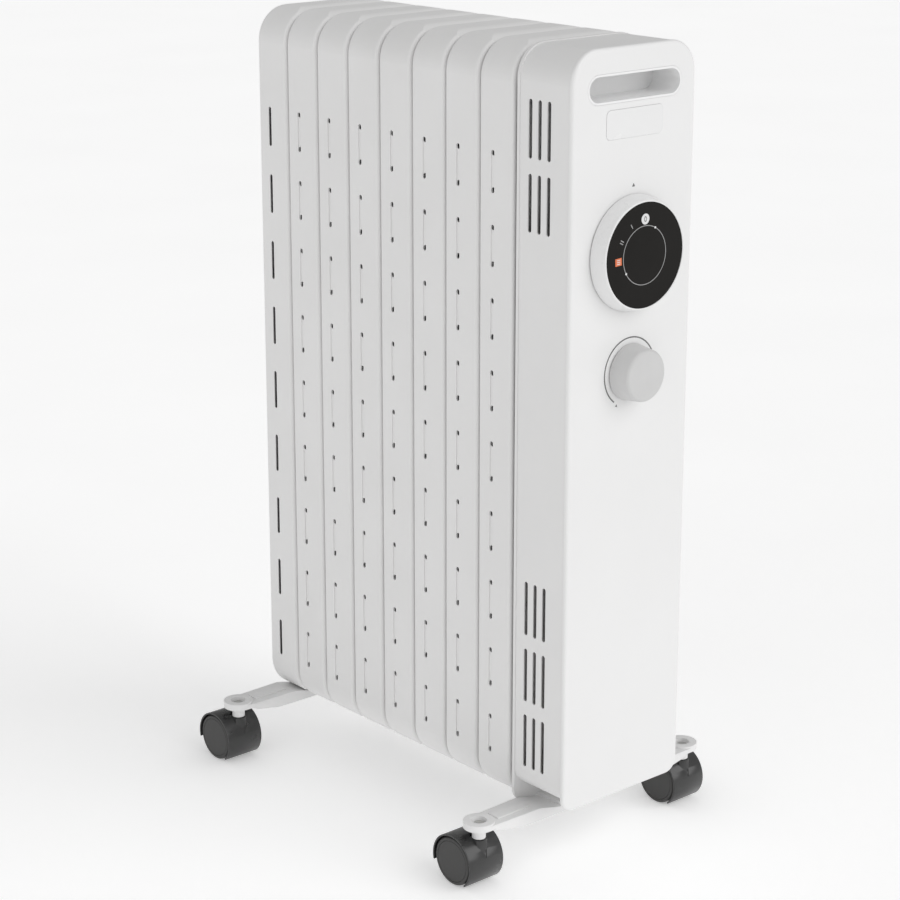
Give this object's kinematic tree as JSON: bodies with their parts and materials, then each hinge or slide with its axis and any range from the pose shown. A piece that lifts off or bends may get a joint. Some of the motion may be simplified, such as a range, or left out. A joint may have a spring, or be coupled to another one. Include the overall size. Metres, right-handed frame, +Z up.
{
  "type": "oil filled radiator heater",
  "caption": "Oil filled column radiator on swivel casters, with a slim control box that carries a grip recess, a step selector dial and a thermostat knob.",
  "frame": {"origin": "on the floor, in the middle of the heater's length and width", "axes": "+Z up from the floor, +Y from the control panel back along the fins, +X to the right of somebody facing the panel"},
  "size_m": [0.2502, 0.3914, 0.621],
  "materials": {
    "fin_paint": "white powder coat, soft satin",
    "shell_paint": "white powder coat, satin",
    "panel_plastic": "white moulded plastic, satin gloss",
    "grip_plastic": "white moulded plastic",
    "badge_plastic": "blank white plate",
    "knob_white": "white moulded plastic",
    "dial_black": "high gloss black with printed rings and steps",
    "knob_grey": "light grey moulded plastic",
    "foot_plastic": "white moulded plastic",
    "caster_black": "black moulded plastic, fine texture",
    "wheel_black": "black nylon",
    "zinc_steel": "bright zinc plate",
    "element_steel": "drawn steel tube",
    "flange_brass": "turned brass",
    "gasket_rubber": "flat seal",
    "terminal_ceramic": "glazed ceramic beads on steel pins",
    "switch_black": "heat resistant moulding with blade terminals",
    "block_white": "terminal block moulding",
    "lead_insulation": "silicone insulated leads",
    "bush_black": "black nylon bush"
  },
  "bodies": {
    "root": {"back_plate": "shell_paint", "badge_plate": "badge_plastic", "box_shell": "shell_paint", "bracket_screws": "zinc_steel", "cable_bush": "bush_black", "clamp_bolt": "zinc_steel", "clamp_nuts": "zinc_steel", "control_bracket": "zinc_steel", "element_flange": "flange_brass", "element_gasket": "gasket_rubber", "element_terminals": "terminal_ceramic", "fin_1": "fin_paint", "fin_2": "fin_paint", "fin_3": "fin_paint", "fin_4": "fin_paint", "fin_5": "fin_paint", "fin_6": "fin_paint", "fin_7": "fin_paint", "fin_8": "fin_paint", "foot_screws": "zinc_steel", "front_foot": "foot_plastic", "front_panel": "panel_plastic", "grip_cup": "grip_plastic", "header_plugs": "zinc_steel", "heating_elements": "element_steel", "internal_leads": "lead_insulation", "plate_bolt": "zinc_steel", "rear_foot": "foot_plastic", "rotary_switch": "switch_black", "shell_screws": "zinc_steel", "stem_bushes": "foot_plastic", "terminal_block": "block_white", "thermal_cutout": "switch_black", "thermostat": "switch_black"},
    "selector_dial": {"selector_knob": "knob_white", "selector_face": "dial_black", "selector_spindle": "zinc_steel"},
    "thermostat_dial": {"thermostat_knob": "knob_grey", "thermostat_spindle": "zinc_steel"},
    "caster_front_left": {"caster_hood_front_left": "caster_black", "caster_stem_front_left": "zinc_steel", "caster_axle_front_left": "zinc_steel"},
    "wheel_front_left_a": {"caster_wheel_front_left_a": "wheel_black"},
    "wheel_front_left_b": {"caster_wheel_front_left_b": "wheel_black"},
    "caster_front_right": {"caster_hood_front_right": "caster_black", "caster_stem_front_right": "zinc_steel", "caster_axle_front_right": "zinc_steel"},
    "wheel_front_right_a": {"caster_wheel_front_right_a": "wheel_black"},
    "wheel_front_right_b": {"caster_wheel_front_right_b": "wheel_black"},
    "caster_rear_left": {"caster_hood_rear_left": "caster_black", "caster_stem_rear_left": "zinc_steel", "caster_axle_rear_left": "zinc_steel"},
    "wheel_rear_left_a": {"caster_wheel_rear_left_a": "wheel_black"},
    "wheel_rear_left_b": {"caster_wheel_rear_left_b": "wheel_black"},
    "caster_rear_right": {"caster_hood_rear_right": "caster_black", "caster_stem_rear_right": "zinc_steel", "caster_axle_rear_right": "zinc_steel"},
    "wheel_rear_right_a": {"caster_wheel_rear_right_a": "wheel_black"},
    "wheel_rear_right_b": {"caster_wheel_rear_right_b": "wheel_black"}
  },
  "joints": [
    {"name": "selector_turn", "type": "hinge", "parent": "root", "child": "selector_dial", "pos_m": [0, -0.17835, 0.4733], "axis": [0, 1, 0], "range_deg": [0, 93]},
    {"name": "thermostat_turn", "type": "hinge", "parent": "root", "child": "thermostat_dial", "pos_m": [0, -0.17835, 0.3858], "axis": [0, 1, 0], "range_deg": [0, 270]},
    {"name": "swivel_front_left", "type": "hinge", "parent": "root", "child": "caster_front_left", "pos_m": [-0.1086, -0.13885, 0.0379], "axis": [0, 0, 1], "continuous": true},
    {"name": "roll_front_left_a", "type": "hinge", "parent": "caster_front_left", "child": "wheel_front_left_a", "pos_m": [-0.1086, -0.12665, 0.019], "axis": [1, 0, 0], "continuous": true},
    {"name": "roll_front_left_b", "type": "hinge", "parent": "caster_front_left", "child": "wheel_front_left_b", "pos_m": [-0.1086, -0.12665, 0.019], "axis": [1, 0, 0], "continuous": true},
    {"name": "swivel_front_right", "type": "hinge", "parent": "root", "child": "caster_front_right", "pos_m": [0.1086, -0.13885, 0.0379], "axis": [0, 0, 1], "continuous": true},
    {"name": "roll_front_right_a", "type": "hinge", "parent": "caster_front_right", "child": "wheel_front_right_a", "pos_m": [0.1086, -0.12665, 0.019], "axis": [1, 0, 0], "continuous": true},
    {"name": "roll_front_right_b", "type": "hinge", "parent": "caster_front_right", "child": "wheel_front_right_b", "pos_m": [0.1086, -0.12665, 0.019], "axis": [1, 0, 0], "continuous": true},
    {"name": "swivel_rear_left", "type": "hinge", "parent": "root", "child": "caster_rear_left", "pos_m": [-0.1086, 0.16235, 0.0379], "axis": [0, 0, 1], "continuous": true},
    {"name": "roll_rear_left_a", "type": "hinge", "parent": "caster_rear_left", "child": "wheel_rear_left_a", "pos_m": [-0.1086, 0.17455, 0.019], "axis": [1, 0, 0], "continuous": true},
    {"name": "roll_rear_left_b", "type": "hinge", "parent": "caster_rear_left", "child": "wheel_rear_left_b", "pos_m": [-0.1086, 0.17455, 0.019], "axis": [1, 0, 0], "continuous": true},
    {"name": "swivel_rear_right", "type": "hinge", "parent": "root", "child": "caster_rear_right", "pos_m": [0.1086, 0.16235, 0.0379], "axis": [0, 0, 1], "continuous": true},
    {"name": "roll_rear_right_a", "type": "hinge", "parent": "caster_rear_right", "child": "wheel_rear_right_a", "pos_m": [0.1086, 0.17455, 0.019], "axis": [1, 0, 0], "continuous": true},
    {"name": "roll_rear_right_b", "type": "hinge", "parent": "caster_rear_right", "child": "wheel_rear_right_b", "pos_m": [0.1086, 0.17455, 0.019], "axis": [1, 0, 0], "continuous": true}
  ]
}
